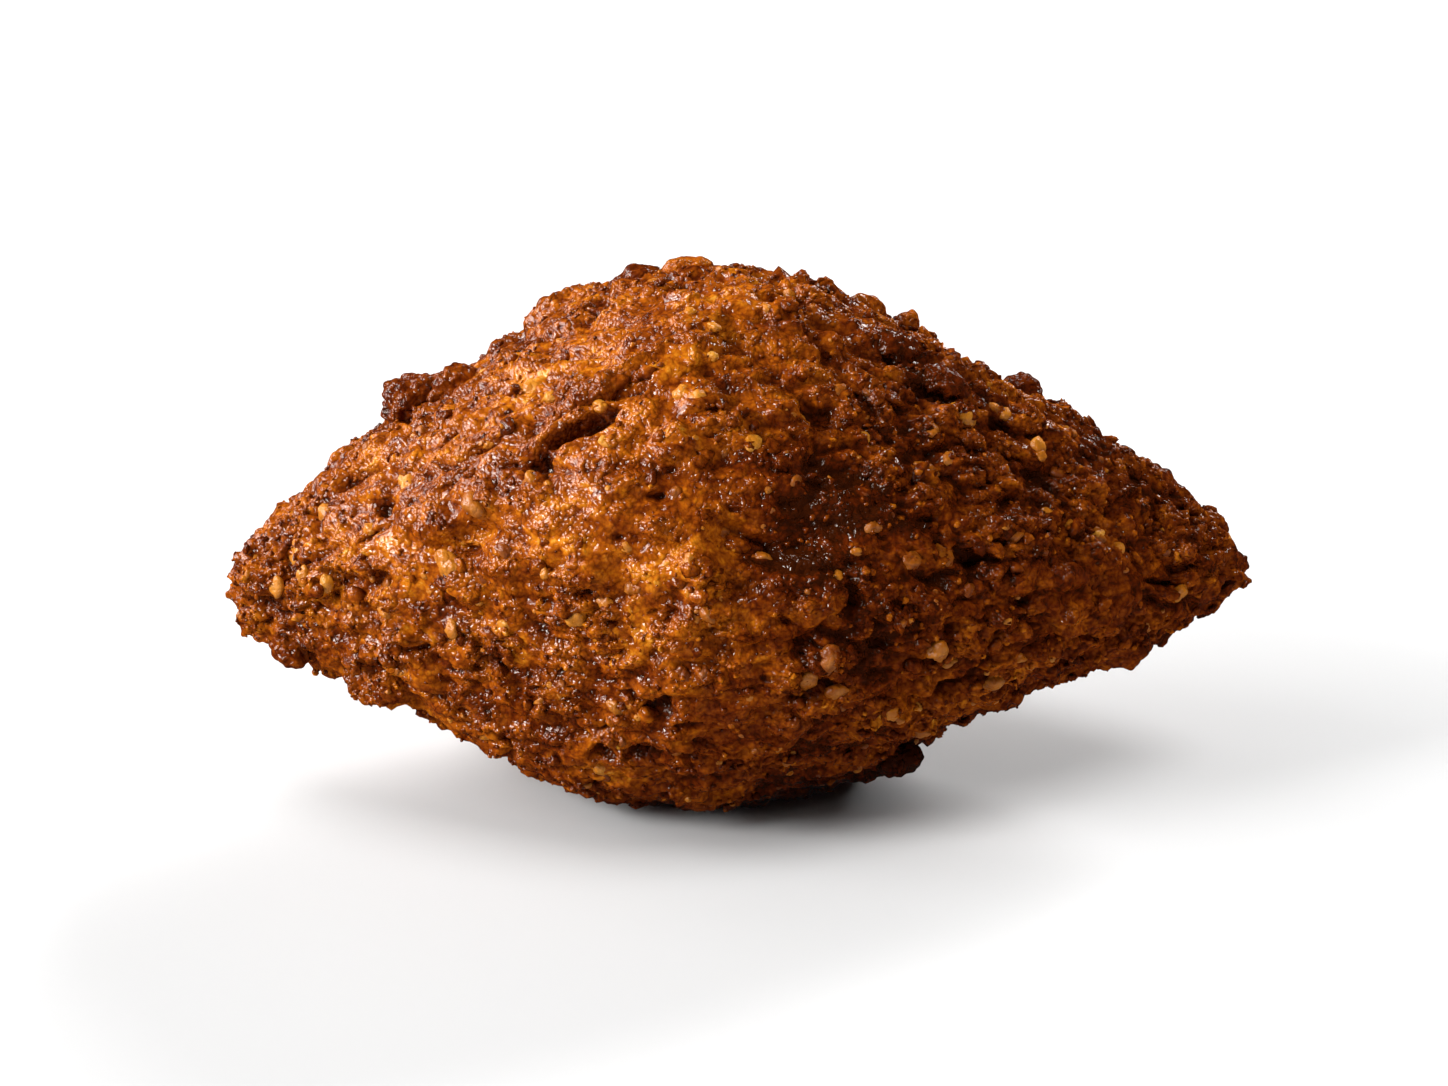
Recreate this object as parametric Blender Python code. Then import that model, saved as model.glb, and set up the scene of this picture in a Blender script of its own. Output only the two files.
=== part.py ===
"""A deep-fried kibbeh: a hand-formed spindle of bulgur and minced meat, in one piece, under a craggy crust.

Metres, +Z up. +X runs along the spindle from its blunt end to its pointed end, and -Y is its front.
The origin is the middle of the base, on the surface that the kibbeh rests on.
Clock angles go round the long axis: 0 is the front, 90 the top, 180 the back and -90 the base.
"""

import math
import random
from collections import namedtuple

import bmesh
import bpy
from mathutils import Matrix, Vector, noise

MM = 0.001

# The hand-formed spindle
BELLY_X = -4.2 * MM  # where the spindle is thickest
BELLY_RADIUS = 21.2 * MM
DEPTH_SHARE = 1.045  # how much deeper than high its section is
FOOT_DEPTH = 1.5 * MM  # how far its own weight pressed the round base flat
TIP_SHARPNESS = 8  # how tightly the slope of an arm turns into its round tip
DROOP_POWER = 1.5

# length: from the belly to the tip. slope_length: to where the arm's slope would meet the axis.
# fullness: 1 is a cone, more is a barrel. droop: how far the tip hangs below the belly's middle.
# ridge_clock: where the pressing palms left the first of the arm's soft ridges.
Arm = namedtuple("Arm", "length slope_length fullness tip_radius droop ridge_clock")
BLUNT_ARM = Arm(36.2 * MM, 40.4 * MM, 1.38, 7.4 * MM, 4.4 * MM, -50)
POINTED_ARM = Arm(44.4 * MM, 46.0 * MM, 1.65, 3.1 * MM, 2.8 * MM, 0)
RIDGE_COUNT = 4
RIDGE_SHARE = 0.035  # of the radius
RIDGE_FROM = 10 * MM  # from the belly, over which the ridges appear

# The crust's relief: (size of its lumps, height), from the coarsest to the finest
UNEVEN = (11 * MM, 0.5 * MM)
CRAGS = ((4.4 * MM, 0.9 * MM), (2.3 * MM, 0.7 * MM))
LUMP_SHARES = (0.27, 0.45)  # of the noise's height: where the smooth form lies, and where lumps turn flat
ALONG_SHARE = 0.62  # lumps are drawn out along the arms, as rolling between the palms leaves them
LAYER_SHIFT = Vector((17.3, -9.1, 4.7))  # so that one layer's creases don't lie in the next one's

# Places where the crust tore, sank or puffed up, and how far: below zero is a hollow.
# tilt turns a place's length from the long axis towards the clock's way round.
Place = namedtuple("Place", "x clock length width tilt height")
PLACE_EDGE = (0.35, 1.15)  # where its slope ends and begins, as shares of the way out to its rim
PLACES = (
    Place(-12.3 * MM, 46, 7.4 * MM, 2.5 * MM, 21, -2.8 * MM),  # the long crack under the charred flap
    Place(-15.0 * MM, 41, 3.4 * MM, 2.8 * MM, 0, -1.8 * MM),
    Place(5.4 * MM, 51, 4.2 * MM, 2.5 * MM, 5, -2.1 * MM),
    Place(13.4 * MM, 67, 3.8 * MM, 2.5 * MM, 20, -1.8 * MM),
    Place(8.1 * MM, 8, 2.4 * MM, 4.0 * MM, 0, -2.0 * MM),
    Place(9.6 * MM, -4, 5.0 * MM, 2.2 * MM, 14, -1.5 * MM),
    Place(17.2 * MM, 18, 3.6 * MM, 2.5 * MM, 0, -1.6 * MM),
    Place(29.0 * MM, -20, 3.6 * MM, 2.4 * MM, 10, -1.5 * MM),
    Place(-6.6 * MM, -18, 3.4 * MM, 3.0 * MM, 0, -1.4 * MM),
    Place(-8.0 * MM, -32, 4.4 * MM, 2.6 * MM, 0, -1.4 * MM),
    Place(1.6 * MM, 21, 13.0 * MM, 4.4 * MM, 4, -1.4 * MM),  # the shaded valley beside the belly's ridge
    Place(-20.8 * MM, 25, 6.6 * MM, 2.6 * MM, 12, -1.1 * MM),
    Place(20.0 * MM, -80, 24 * MM, 26 * MM, 0, -1.2 * MM),
    Place(-24.0 * MM, -80, 18 * MM, 24 * MM, 0, -0.8 * MM),
    Place(18.0 * MM, 108, 20 * MM, 20 * MM, 0, -0.6 * MM),
    Place(-3.4 * MM, 15, 3.4 * MM, 8.0 * MM, -14, 0.9 * MM),  # the belly's lit ridge
    Place(-12.0 * MM, 27, 9.0 * MM, 8.0 * MM, 0, 0.6 * MM),
    Place(-13.6 * MM, 112, 9.0 * MM, 15.0 * MM, 0, 0.7 * MM),
)

# Crumbs of crust that stand out. height is their top's over the crust, and middle their middle's.
Crumb = namedtuple("Crumb", "x clock length width height middle tilt")
CRUMBS = (
    Crumb(-25.7 * MM, 103, 5.4 * MM, 4.4 * MM, 2.6 * MM, 0.6 * MM, 10),  # the charred knob
    Crumb(-22.9 * MM, 99, 4.2 * MM, 3.2 * MM, 1.3 * MM, -0.2 * MM, 20),
    Crumb(-13.4 * MM, 108, 6.4 * MM, 3.6 * MM, 0.9 * MM, -0.3 * MM, 4),
    Crumb(-8.6 * MM, 108, 4.6 * MM, 3.4 * MM, 1.0 * MM, -0.4 * MM, 0),
    Crumb(-4.4 * MM, 108, 4.2 * MM, 3.2 * MM, 0.9 * MM, -0.1 * MM, 0),
    Crumb(-11.4 * MM, 55, 6.0 * MM, 2.6 * MM, 1.0 * MM, -0.3 * MM, 21),  # the flap over the long crack
    Crumb(9.6 * MM, 106, 3.4 * MM, 2.6 * MM, 0.7 * MM, -0.4 * MM, 0),
    Crumb(12.9 * MM, 108, 1.8 * MM, 1.7 * MM, 1.1 * MM, 0.1 * MM, 0),
    Crumb(11.6 * MM, 78, 3.8 * MM, 2.8 * MM, 0.9 * MM, -0.3 * MM, 30),
    Crumb(15.4 * MM, 72, 4.2 * MM, 2.6 * MM, 0.9 * MM, -0.3 * MM, -20),
    Crumb(22.1 * MM, 106, 3.2 * MM, 2.6 * MM, 0.9 * MM, -0.3 * MM, 0),
    Crumb(32.6 * MM, 104, 3.8 * MM, 2.8 * MM, 0.8 * MM, -0.4 * MM, 0),
    Crumb(37.2 * MM, 100, 2.4 * MM, 2.0 * MM, 0.7 * MM, -0.3 * MM, 0),
    Crumb(12.2 * MM, -66, 4.4 * MM, 3.0 * MM, 1.2 * MM, -0.2 * MM, 0),
    Crumb(30.3 * MM, -54, 4.4 * MM, 2.8 * MM, 0.8 * MM, -0.4 * MM, 0),
    Crumb(-35.8 * MM, -50, 3.6 * MM, 3.0 * MM, 0.8 * MM, -0.4 * MM, 0),
    Crumb(-31.6 * MM, 104, 3.0 * MM, 2.4 * MM, 0.7 * MM, -0.3 * MM, 0),
    Crumb(-20.2 * MM, 60, 3.6 * MM, 2.8 * MM, 0.6 * MM, -0.5 * MM, 10),
    Crumb(3.4 * MM, -24, 3.8 * MM, 2.8 * MM, 0.6 * MM, -0.5 * MM, 0),
    Crumb(24.6 * MM, 12, 4.0 * MM, 2.6 * MM, 0.6 * MM, -0.5 * MM, 0),
)
CRUMB_LUMPS = (1.3 * MM, 0.6)  # their size, and their height as a share of the crumb's half height

# Grains of bulgur that show in the crust: the largest on the front, and more by a rule elsewhere
Grain = namedtuple("Grain", "x clock length turn")
FRONT_GRAINS = (
    Grain(-35.5 * MM, 39, 2.3 * MM, 80),
    Grain(-36.0 * MM, 12, 1.5 * MM, 0),
    Grain(-26.4 * MM, 51, 2.4 * MM, 20),
    Grain(-20.2 * MM, 33, 2.0 * MM, 10),
    Grain(-16.8 * MM, 69, 2.2 * MM, 45),
    Grain(-12.2 * MM, 3, 1.7 * MM, 120),
    Grain(-5.1 * MM, 52, 1.7 * MM, 0),
    Grain(0.8 * MM, 39, 1.7 * MM, 70),
    Grain(0.6 * MM, -14, 2.2 * MM, 100),
    Grain(5.6 * MM, -8, 2.8 * MM, 80),
    Grain(13.8 * MM, 42, 2.3 * MM, 0),
    Grain(15.3 * MM, 19, 2.2 * MM, 10),
    Grain(22.3 * MM, 62, 1.8 * MM, -40),
    Grain(26.9 * MM, 32, 1.6 * MM, 60),
    Grain(34.0 * MM, -6, 1.7 * MM, 45),
)
GRAIN_COUNT = 48
GRAIN_LENGTHS = (1.6 * MM, 2.7 * MM)
GRAIN_WIDTH_SHARE = 0.7
GRAIN_SUNK_SHARES = (0.05, 0.3)  # of its width, from its middle down into the crust
GRAIN_GAP = 4.2 * MM  # between the middles of two grains
GRAIN_CLEARANCE = 3.0 * MM  # over the foot
GRAIN_SEED = 5

BALL_DETAIL = 7
POLE_SHARE = 0.99999  # of the half length, short of which the clock angle still has a meaning
SHARP_EDGE = 50  # degrees
CORE_TRIANGLES = 6750
CRUST_COLOUR = (0.33, 0.10, 0.025, 1.0)
CRUST_ROUGHNESS = 0.5


def blend(low, high, value):
    """0 below low and 1 above high, turning smoothly in between."""
    share = min(max((value - low) / (high - low), 0.0), 1.0)
    return share * share * (3 - 2 * share)


def arm_at(x):
    return BLUNT_ARM if x < BELLY_X else POINTED_ARM


def turned_radius(x):
    """The spindle's radius before its section is shaped: an arm's slope, cut short by its round tip."""
    arm = arm_at(x)
    out = abs(x - BELLY_X)
    slope = BELLY_RADIUS * (1 - (out / arm.slope_length) ** arm.fullness)
    from_tip = arm.length - out
    tip = math.sqrt(2 * arm.tip_radius * from_tip + from_tip**2)
    return (slope**-TIP_SHARPNESS + tip**-TIP_SHARPNESS) ** (-1 / TIP_SHARPNESS)


def axis_height(x):
    arm = arm_at(x)
    share = abs(x - BELLY_X) / arm.length
    return BELLY_RADIUS - FOOT_DEPTH - arm.droop * share**DROOP_POWER


def surface_point(x, clock):
    """The smooth form's surface at x along the spindle and at a clock angle in degrees."""
    angle = math.radians(clock)
    arm = arm_at(x)
    ridges = math.cos(RIDGE_COUNT * (angle - math.radians(arm.ridge_clock)))
    ridges *= RIDGE_SHARE * blend(0, RIDGE_FROM, abs(x - BELLY_X))
    radius = turned_radius(x) * (1 + ridges)
    return Vector((x, -radius * DEPTH_SHARE * math.cos(angle), axis_height(x) + radius * math.sin(angle)))


def surface_axes(x, clock):
    """Unit vectors at a place on the smooth form: along the spindle, round it, and out of it."""
    step = 0.05 * MM
    inward = -step if x > BELLY_X else step
    along = (surface_point(x + inward, clock) - surface_point(x, clock)) / inward
    round_it = surface_point(x, clock + 1) - surface_point(x, clock - 1)
    along.normalize()
    round_it = (round_it - along * round_it.dot(along)).normalized()
    return along, round_it, along.cross(round_it)


def crust_relief(point):
    """How far the crust stands over the smooth form: unevenness, then crags with creases between them."""
    drawn_out = Vector((point.x * ALONG_SHARE, point.y, point.z))
    size, height = UNEVEN
    relief = height * noise.noise(drawn_out / size)
    level, flat = LUMP_SHARES
    for layer, (size, height) in enumerate(CRAGS, start=1):
        shifted = drawn_out / size + LAYER_SHIFT * layer
        relief += height * (min(abs(noise.noise(shifted)), flat) - level) * 2
    return relief


def place_relief(x, clock, place):
    """The height that one torn or puffed place adds at x and a clock angle."""
    round_it = math.radians((clock - place.clock + 180) % 360 - 180) * turned_radius(place.x)
    along = x - place.x
    if max(abs(along), abs(round_it)) > place.length + place.width:
        return 0.0
    tilt = math.radians(place.tilt)
    lengthwise = (along * math.cos(tilt) + round_it * math.sin(tilt)) / (place.length / 2)
    crosswise = (round_it * math.cos(tilt) - along * math.sin(tilt)) / (place.width / 2)
    return place.height * (1 - blend(*PLACE_EDGE, math.hypot(lengthwise, crosswise)))


def new_object(name, shape, collection):
    mesh = bpy.data.meshes.new(name)
    shape.to_mesh(mesh)
    shape.free()
    made = bpy.data.objects.new(name, mesh)
    collection.objects.link(made)
    return made


def make_core(collection):
    """The spindle with its crust: a ball drawn out to the smooth form, then pushed along its normals."""
    shape = bmesh.new()
    bmesh.ops.create_icosphere(shape, subdivisions=BALL_DETAIL, radius=1)
    middle = BELLY_X + (POINTED_ARM.length - BLUNT_ARM.length) / 2
    half = (POINTED_ARM.length + BLUNT_ARM.length) / 2
    places = {}
    for vert in shape.verts:
        x = middle + half * min(max(vert.co.x, -POLE_SHARE), POLE_SHARE)
        clock = math.degrees(math.atan2(vert.co.z, -vert.co.y))
        vert.co = surface_point(x, clock)
        places[vert] = (x, clock)
    shape.normal_update()
    outward = {vert: vert.normal.copy() for vert in shape.verts}
    for vert in shape.verts:
        height = crust_relief(vert.co) + sum(place_relief(*places[vert], place) for place in PLACES)
        vert.co += outward[vert] * height
    core = new_object("kibbeh", shape, collection)
    thin = core.modifiers.new("fewer triangles", "DECIMATE")
    thin.ratio = CORE_TRIANGLES / len(core.data.polygons)
    return core


def crust_point(x, clock):
    """A point on the crust, relief included, with the axes of the smooth form under it."""
    axes = surface_axes(x, clock)
    point = surface_point(x, clock)
    height = crust_relief(point) + sum(place_relief(x, clock, place) for place in PLACES)
    return point + axes[2] * height, axes


def set_down(shape, x, clock, turn, rise):
    """Lays a small shape on the crust, turned about its normal by turn degrees and raised by rise."""
    point, (along, round_it, out) = crust_point(x, clock)
    axes = Matrix((along, round_it, out)).transposed().to_4x4()
    turned = axes @ Matrix.Rotation(math.radians(turn), 4, "Z")
    bmesh.ops.transform(shape, matrix=Matrix.Translation(point + out * rise) @ turned, verts=shape.verts)


def make_crumb(number, crumb, collection):
    """A lumpy piece of crust, mostly above the surface."""
    shape = bmesh.new()
    bmesh.ops.create_icosphere(shape, subdivisions=3 if crumb.length > 5 * MM else 2, radius=1)
    half_height = crumb.height - crumb.middle
    bmesh.ops.scale(shape, vec=(crumb.length / 2, crumb.width / 2, half_height), verts=shape.verts)
    shape.normal_update()
    outward = {vert: vert.normal.copy() for vert in shape.verts}
    size, share = CRUMB_LUMPS
    for vert in shape.verts:
        lump = noise.noise(vert.co / size + LAYER_SHIFT * number)
        vert.co += outward[vert] * lump * half_height * share
    set_down(shape, crumb.x, crumb.clock, crumb.tilt, crumb.middle)
    new_object(f"crumb_{number}", shape, collection)


def choose_grains():
    """The front's largest grains, and others drawn evenly over the crust's area and kept apart from all."""
    draw = random.Random(GRAIN_SEED)
    grains = list(FRONT_GRAINS)
    middles = [surface_point(grain.x, grain.clock) for grain in grains]
    while len(grains) < GRAIN_COUNT:
        x = BELLY_X + draw.uniform(-BLUNT_ARM.length, POINTED_ARM.length)
        clock = draw.uniform(-180, 180)
        if draw.random() > turned_radius(x) / BELLY_RADIUS:
            continue
        middle = surface_point(x, clock)
        near_others = any((middle - other).length < GRAIN_GAP for other in middles)
        if middle.z < GRAIN_CLEARANCE or near_others:
            continue
        grains.append(Grain(x, clock, draw.uniform(*GRAIN_LENGTHS), draw.uniform(0, 180)))
        middles.append(middle)
    return grains


def make_grains(collection):
    """Each grain is a small ball drawn out along its length, which starts along the spindle."""
    draw = random.Random(GRAIN_SEED + 1)
    lengthwise = Matrix.Rotation(math.radians(90), 3, "Y")
    for number, grain in enumerate(choose_grains()):
        width = grain.length * GRAIN_WIDTH_SHARE
        shape = bmesh.new()
        bmesh.ops.create_uvsphere(shape, u_segments=6, v_segments=4, radius=1)
        bmesh.ops.rotate(shape, cent=(0, 0, 0), matrix=lengthwise, verts=shape.verts)
        bmesh.ops.scale(shape, vec=(grain.length / 2, width / 2, width / 2), verts=shape.verts)
        set_down(shape, grain.x, grain.clock, grain.turn, -width * draw.uniform(*GRAIN_SUNK_SHARES))
        new_object(f"grain_{number}", shape, collection)


def make_floor_cutter(collection):
    """A block under the base: cutting it away leaves the small flat face that the kibbeh rests on."""
    side = 60 * MM
    shape = bmesh.new()
    bmesh.ops.create_cube(shape, size=1)
    bmesh.ops.scale(shape, vec=(side, side, side), verts=shape.verts)
    bmesh.ops.translate(shape, vec=(0, 0, -side / 2), verts=shape.verts)
    cutter = new_object("floor_cutter", shape, collection)
    cutter.hide_render = True
    cutter.display_type = "WIRE"
    return cutter


def apply_modifiers(target):
    bpy.context.view_layer.update()
    evaluated = target.evaluated_get(bpy.context.evaluated_depsgraph_get())
    target.data = bpy.data.meshes.new_from_object(evaluated)
    target.modifiers.clear()


def centre_over_origin(target):
    """Moves the mesh so that its bounding box is centred over the origin, on the foot that is at z = 0."""
    corners = [Vector(corner) for corner in target.bound_box]
    middle = sum(corners, Vector()) / len(corners)
    target.data.transform(Matrix.Translation((-middle.x, -middle.y, 0)))


def crust_material():
    material = bpy.data.materials.new("fried_crust")
    material.use_nodes = True
    shader = material.node_tree.nodes["Principled BSDF"]
    shader.inputs["Base Color"].default_value = CRUST_COLOUR
    shader.inputs["Roughness"].default_value = CRUST_ROUGHNESS
    shader.inputs["Metallic"].default_value = 0.0
    return material


def new_collection(name):
    made = bpy.data.collections.new(name)
    bpy.context.scene.collection.children.link(made)
    return made


def main():
    for old in list(bpy.data.objects):
        bpy.data.objects.remove(old)
    parts = new_collection("kibbeh")
    fused = new_collection("fused pieces")
    cutters = new_collection("cutters")

    kibbeh = make_core(parts)
    for number, crumb in enumerate(CRUMBS):
        make_crumb(number, crumb, fused)
    make_grains(fused)

    join = kibbeh.modifiers.new("join crumbs and grains", "BOOLEAN")
    join.operation = "UNION"
    join.operand_type = "COLLECTION"
    join.collection = fused
    cut = kibbeh.modifiers.new("flat foot", "BOOLEAN")
    cut.operation = "DIFFERENCE"
    cut.object = make_floor_cutter(cutters)
    apply_modifiers(kibbeh)
    for piece in list(fused.objects):
        bpy.data.objects.remove(piece)
    bpy.data.collections.remove(fused)
    centre_over_origin(kibbeh)

    kibbeh.data.materials.clear()
    kibbeh.data.materials.append(crust_material())
    kibbeh.data.shade_smooth()
    kibbeh.data.set_sharp_from_angle(angle=math.radians(SHARP_EDGE))


main()
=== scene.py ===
"""The looks of a deep-fried kibbeh: its craggy crust, torn crumbs and bulgur grains, in soft studio light.

Metres, +Z up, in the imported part's frame. The crust follows the part's own form and relief, and adds what is
finer. Clock angles go round the long axis: 0 is the front, 90 the top, 180 the back and -90 the base.
"""

import math
from collections import namedtuple

import bmesh
import bpy
import numpy as np
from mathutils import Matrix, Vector, noise


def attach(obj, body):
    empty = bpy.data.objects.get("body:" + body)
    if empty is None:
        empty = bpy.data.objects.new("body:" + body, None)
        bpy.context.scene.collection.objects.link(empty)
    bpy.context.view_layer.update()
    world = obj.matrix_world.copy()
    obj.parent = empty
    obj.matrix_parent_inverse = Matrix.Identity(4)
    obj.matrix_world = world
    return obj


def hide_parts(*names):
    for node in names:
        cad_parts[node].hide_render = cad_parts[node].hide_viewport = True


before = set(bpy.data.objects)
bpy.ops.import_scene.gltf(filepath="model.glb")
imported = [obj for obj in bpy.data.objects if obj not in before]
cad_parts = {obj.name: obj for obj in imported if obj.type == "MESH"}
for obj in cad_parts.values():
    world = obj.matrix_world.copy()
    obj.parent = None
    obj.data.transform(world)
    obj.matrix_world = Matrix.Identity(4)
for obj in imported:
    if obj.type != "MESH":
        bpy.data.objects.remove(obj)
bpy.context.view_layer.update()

MM = 0.001

# The form, as in the part
BELLY_X = -4.2 * MM
BELLY_RADIUS = 21.2 * MM
DEPTH_SHARE = 1.045
FOOT_DEPTH = 1.5 * MM
TIP_SHARPNESS = 8
DROOP_POWER = 1.5
Arm = namedtuple("Arm", "length slope_length fullness tip_radius droop ridge_clock")
BLUNT_ARM = Arm(36.2 * MM, 40.4 * MM, 1.38, 7.4 * MM, 4.4 * MM, -50)
POINTED_ARM = Arm(44.4 * MM, 46.0 * MM, 1.65, 3.1 * MM, 2.8 * MM, 0)
RIDGE_COUNT = 4
RIDGE_SHARE = 0.035
RIDGE_FROM = 10 * MM
UNEVEN = (11 * MM, 0.5 * MM)
CRAGS = ((4.4 * MM, 0.65 * MM), (2.3 * MM, 0.6 * MM))
LUMP_SHARES = (0.27, 0.45)
GRANULE_REACH = 0.9  # from a granule's middle to where the crust is lowest, in granule sizes
ALONG_SHARE = 0.62
LAYER_SHIFT = np.array((17.3, -9.1, 4.7))
POLE_SHARE = 0.99999
PART_SHIFT = np.array((0.36 * MM, 0.15 * MM, 0))  # what centring the part over its origin moved it by
AXIS_STEP = 0.05 * MM
CLOCK_STEP = 1  # degree

# The places where the crust tore, sank or puffed up, as in the part
Place = namedtuple("Place", "x clock length width tilt height")
BROAD_EDGE = (0.35, 1.15)
BROAD_PLACES = (
    Place(1.6 * MM, 21, 13.0 * MM, 4.4 * MM, 4, -1.4 * MM),
    Place(-20.8 * MM, 25, 6.6 * MM, 2.6 * MM, 12, -1.1 * MM),
    Place(20.0 * MM, -80, 24 * MM, 26 * MM, 0, -1.2 * MM),
    Place(-24.0 * MM, -80, 18 * MM, 24 * MM, 0, -0.8 * MM),
    Place(18.0 * MM, 108, 20 * MM, 20 * MM, 0, -0.6 * MM),
    Place(-3.4 * MM, 15, 3.4 * MM, 8.0 * MM, -14, 0.9 * MM),
    Place(-12.0 * MM, 27, 9.0 * MM, 8.0 * MM, 0, 0.6 * MM),
    Place(-13.6 * MM, 112, 9.0 * MM, 15.0 * MM, 0, 0.7 * MM),
)
TORN_EDGE = (0.2, 1.1)
CRACK = Place(-12.1 * MM, 46.5, 6.4 * MM, 2.0 * MM, 16, -3.4 * MM)
CRACK_EDGE = (0.55, 1.05)
CRACK_WANDER = 0.35  # of how far other rims wander
TORN_PLACES = (
    Place(-15.6 * MM, 41, 3.2 * MM, 2.6 * MM, 0, -1.9 * MM),
    Place(5.4 * MM, 51, 4.2 * MM, 2.4 * MM, 5, -1.3 * MM),
    Place(13.4 * MM, 67, 3.8 * MM, 2.4 * MM, 20, -1.3 * MM),
    Place(8.1 * MM, 8, 2.2 * MM, 4.2 * MM, 0, -1.3 * MM),
    Place(9.6 * MM, -4, 5.2 * MM, 2.0 * MM, 14, -1.1 * MM),
    Place(17.2 * MM, 18, 3.8 * MM, 2.4 * MM, 0, -1.2 * MM),
    Place(29.0 * MM, -20, 3.8 * MM, 2.2 * MM, 10, -1.2 * MM),
    Place(-6.6 * MM, -18, 3.4 * MM, 2.8 * MM, 0, -1.2 * MM),
    Place(-8.0 * MM, -32, 4.4 * MM, 2.4 * MM, 0, -1.2 * MM),
)
# Where it is charred or paler, and where painted light and shade stand in for how the lights fall: height is
# the change in tone
TONE_AND_PAINTED_LIGHT_PLACES = (
    Place(-25.2 * MM, 102, 8.0 * MM, 6.0 * MM, 10, -0.48),
    Place(-8.4 * MM, 106, 6.0 * MM, 4.0 * MM, 0, -0.26),
    Place(11.6 * MM, 78, 5.0 * MM, 4.0 * MM, 30, -0.2),
    Place(14.6 * MM, 70, 6.0 * MM, 4.0 * MM, 0, -0.2),
    # Painted light: the upper left slope paler, where the lights fall on it
    Place(-14.0 * MM, 78, 20.0 * MM, 12.0 * MM, 0, 0.1),
    # A paler patch in the crust itself
    Place(-21.0 * MM, 25, 9.0 * MM, 4.0 * MM, 10, 0.15),
    # Painted shade: darker on the right arm, which faces away from the lights, in the valley right of the
    # ridge, and on the lower front
    Place(27.0 * MM, 10, 60.0 * MM, 80.0 * MM, 0, -0.22),
    Place(6.0 * MM, 24, 16.0 * MM, 14.0 * MM, 0, -0.35),
    Place(0.0 * MM, -45, 76.0 * MM, 36.0 * MM, 0, -0.1),
    # Painted light: paler low on the front of the right arm, as if lit from the floor
    Place(16.0 * MM, -30, 22.0 * MM, 16.0 * MM, 0, 0.28),
    # Painted shade: darker underneath and at the back
    Place(2.0 * MM, -66, 50.0 * MM, 12.0 * MM, 0, -0.18),
    Place(0.0 * MM, 180, 80.0 * MM, 60.0 * MM, 0, -0.22),
)
# Where the crust is a smooth skin, and where it is more crumbly than elsewhere: height is the change in
# smoothness
SKIN_PLACES = (
    Place(-15.0 * MM, 35, 30.0 * MM, 20.0 * MM, 0, 0.6),
    Place(-25.0 * MM, 42, 18.0 * MM, 14.0 * MM, 0, 0.5),
    Place(-10.0 * MM, 75, 26.0 * MM, 12.0 * MM, 0, 0.5),
    Place(-3.5 * MM, -22, 12.0 * MM, 16.0 * MM, 0, 0.5),
    Place(29.0 * MM, 5, 16.0 * MM, 8.0 * MM, 0, 0.5),
    Place(24.0 * MM, 56, 30.0 * MM, 28.0 * MM, 0, -0.35),
    Place(-36.0 * MM, 20, 8.0 * MM, 20.0 * MM, 0, -0.6),
    Place(12.0 * MM, 45, 22.0 * MM, 14.0 * MM, 0, -0.3),
    Place(0.0 * MM, 42, 14.0 * MM, 10.0 * MM, 0, -0.4),
    Place(12.0 * MM, -20, 26.0 * MM, 20.0 * MM, 0, -0.5),
)
SKIN = (6 * MM, 0.48, 0.75)  # the size of its patches, how much of it is skin, and how much that varies

# Crumbs of crust that stand out, as in the part
Crumb = namedtuple("Crumb", "x clock length width height middle tilt")
CRUMBS = (
    Crumb(-25.7 * MM, 103, 5.4 * MM, 4.4 * MM, 2.6 * MM, 0.6 * MM, 10),
    Crumb(-22.9 * MM, 99, 4.2 * MM, 3.2 * MM, 1.3 * MM, -0.2 * MM, 20),
    Crumb(-13.4 * MM, 108, 5.6 * MM, 2.8 * MM, 1.1 * MM, 0.2 * MM, 4),
    Crumb(-8.6 * MM, 108, 4.6 * MM, 3.4 * MM, 1.0 * MM, -0.4 * MM, 0),
    Crumb(-4.4 * MM, 108, 4.2 * MM, 3.2 * MM, 0.6 * MM, -0.2 * MM, 0),
    Crumb(-11.4 * MM, 55, 6.0 * MM, 2.6 * MM, 1.0 * MM, -0.3 * MM, 17),
    Crumb(9.6 * MM, 106, 3.4 * MM, 2.6 * MM, 0.7 * MM, -0.4 * MM, 0),
    Crumb(12.9 * MM, 108, 1.8 * MM, 1.7 * MM, 1.1 * MM, 0.1 * MM, 0),
    Crumb(11.6 * MM, 78, 3.8 * MM, 2.8 * MM, 0.9 * MM, -0.3 * MM, 30),
    Crumb(15.4 * MM, 72, 4.2 * MM, 2.6 * MM, 0.9 * MM, -0.3 * MM, -20),
    Crumb(22.1 * MM, 106, 3.2 * MM, 2.6 * MM, 0.9 * MM, -0.3 * MM, 0),
    Crumb(32.6 * MM, 104, 3.8 * MM, 2.8 * MM, 0.8 * MM, -0.4 * MM, 0),
    Crumb(37.2 * MM, 100, 2.4 * MM, 2.0 * MM, 0.7 * MM, -0.3 * MM, 0),
    Crumb(12.2 * MM, -66, 4.2 * MM, 2.6 * MM, 0.9 * MM, -0.3 * MM, 0),
    Crumb(30.3 * MM, -54, 4.4 * MM, 2.8 * MM, 0.8 * MM, -0.4 * MM, 0),
    Crumb(-35.8 * MM, -50, 3.6 * MM, 3.0 * MM, 0.8 * MM, -0.4 * MM, 0),
    Crumb(-31.6 * MM, 104, 3.0 * MM, 2.4 * MM, 0.7 * MM, -0.3 * MM, 0),
    Crumb(-20.2 * MM, 60, 3.6 * MM, 2.8 * MM, 0.6 * MM, -0.5 * MM, 10),
    Crumb(3.4 * MM, -24, 3.8 * MM, 2.8 * MM, 0.6 * MM, -0.5 * MM, 0),
    Crumb(24.6 * MM, 12, 4.0 * MM, 2.6 * MM, 0.6 * MM, -0.5 * MM, 0),
)

# Finer relief, which only the crust here has
FINE_CRAGS = ((1.3 * MM, 0.48 * MM), (0.75 * MM, 0.24 * MM))
FINE_ALONG_SHARE = 0.42
GRANULES = (0.9 * MM, 0.3 * MM)
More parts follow.
